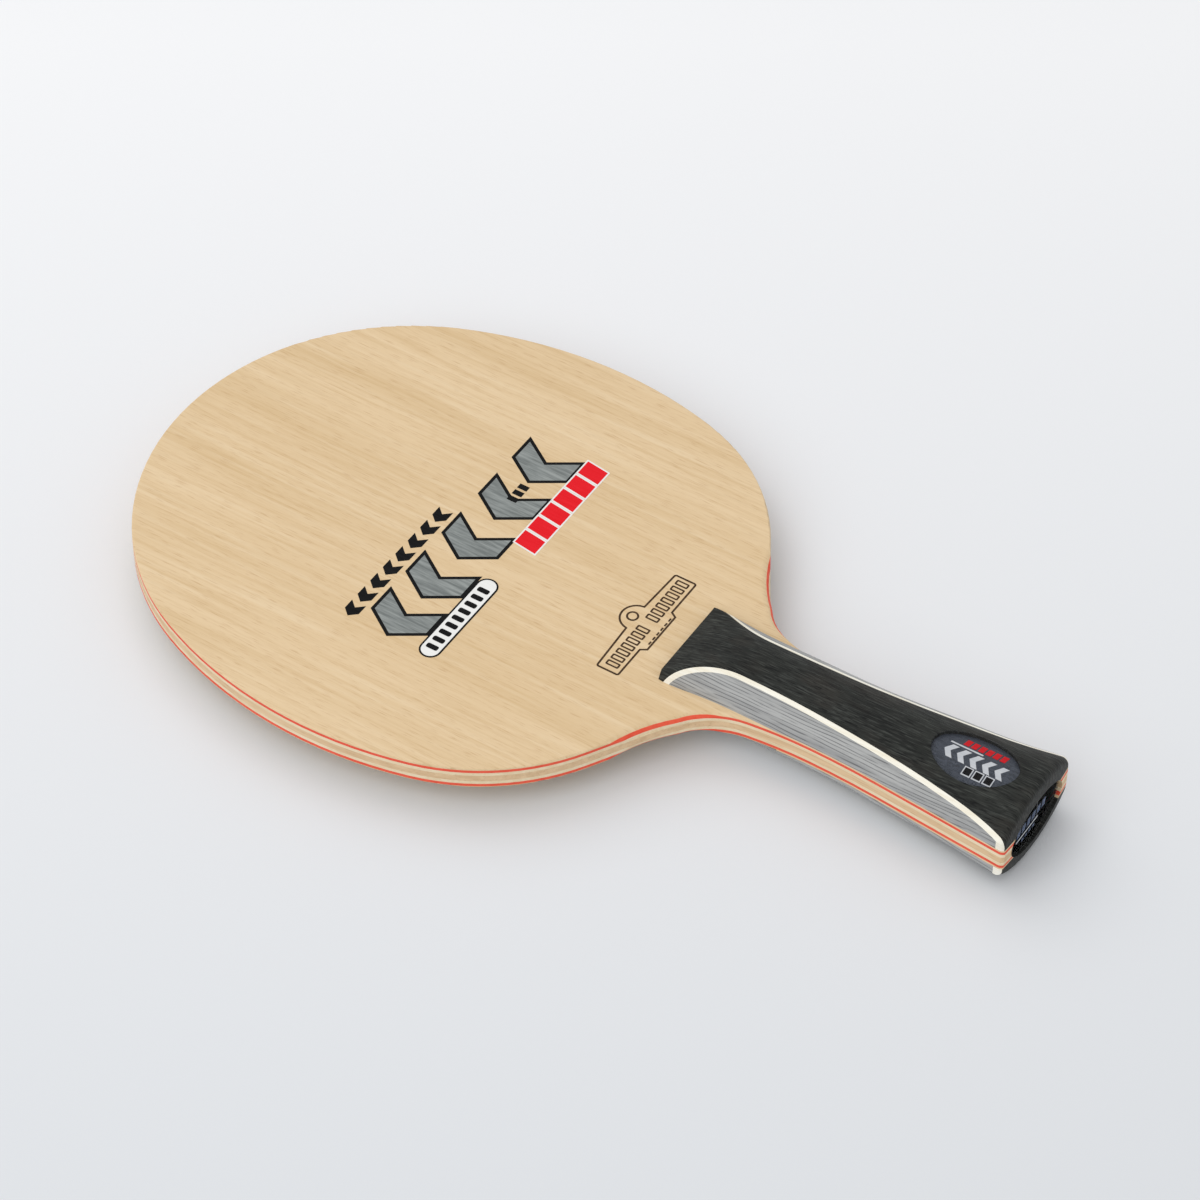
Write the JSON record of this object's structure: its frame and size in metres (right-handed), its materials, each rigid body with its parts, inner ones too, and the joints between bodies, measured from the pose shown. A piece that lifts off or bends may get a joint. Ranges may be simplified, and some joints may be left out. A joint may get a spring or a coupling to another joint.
{
  "type": "table tennis blade",
  "caption": "Bare wooden table tennis blade with a laminated veneer head, a flared oval handle with curved pale inlays, and small oval badges on the handle and its end.",
  "frame": {"origin": "centre of the bounding box, at its lowest height: under the middle of the overall length, level with the crown of the back handle half", "axes": "+X across the blade, +Y from the handle towards the head tip, +Z out of the front hitting face"},
  "size_m": [0.1498, 0.2576, 0.0233],
  "materials": {
    "face_wood": "satin",
    "red_wood": "satin",
    "cream_wood": "satin",
    "core_wood": "satin",
    "charcoal_wood": "satin",
    "inlay_wood": "satin",
    "grey_wood": "satin",
    "badge_print": "gloss",
    "clear_resin": "gloss",
    "end_print": "gloss",
    "print_black": "satin",
    "print_silver": "satin",
    "print_red": "satin",
    "print_white": "satin",
    "print_brown": "satin"
  },
  "bodies": {
    "root": {"core_veneer": "core_wood", "crossband_front": "cream_wood", "crossband_back": "cream_wood", "dyed_veneer_front": "red_wood", "dyed_veneer_back": "red_wood", "face_veneer_front": "face_wood", "face_veneer_back": "face_wood", "handle_scale_front": "charcoal_wood", "handle_scale_back": "charcoal_wood", "badge_plate": "badge_print", "badge_lens": "clear_resin", "end_plate": "end_print", "end_lens": "clear_resin", "inlay_strip_front_left": "inlay_wood", "side_panel_front_left": "grey_wood", "inlay_strip_front_right": "inlay_wood", "side_panel_front_right": "grey_wood", "inlay_strip_back_left": "inlay_wood", "side_panel_back_left": "grey_wood", "inlay_strip_back_right": "inlay_wood", "side_panel_back_right": "grey_wood"}
  },
  "joints": []
}
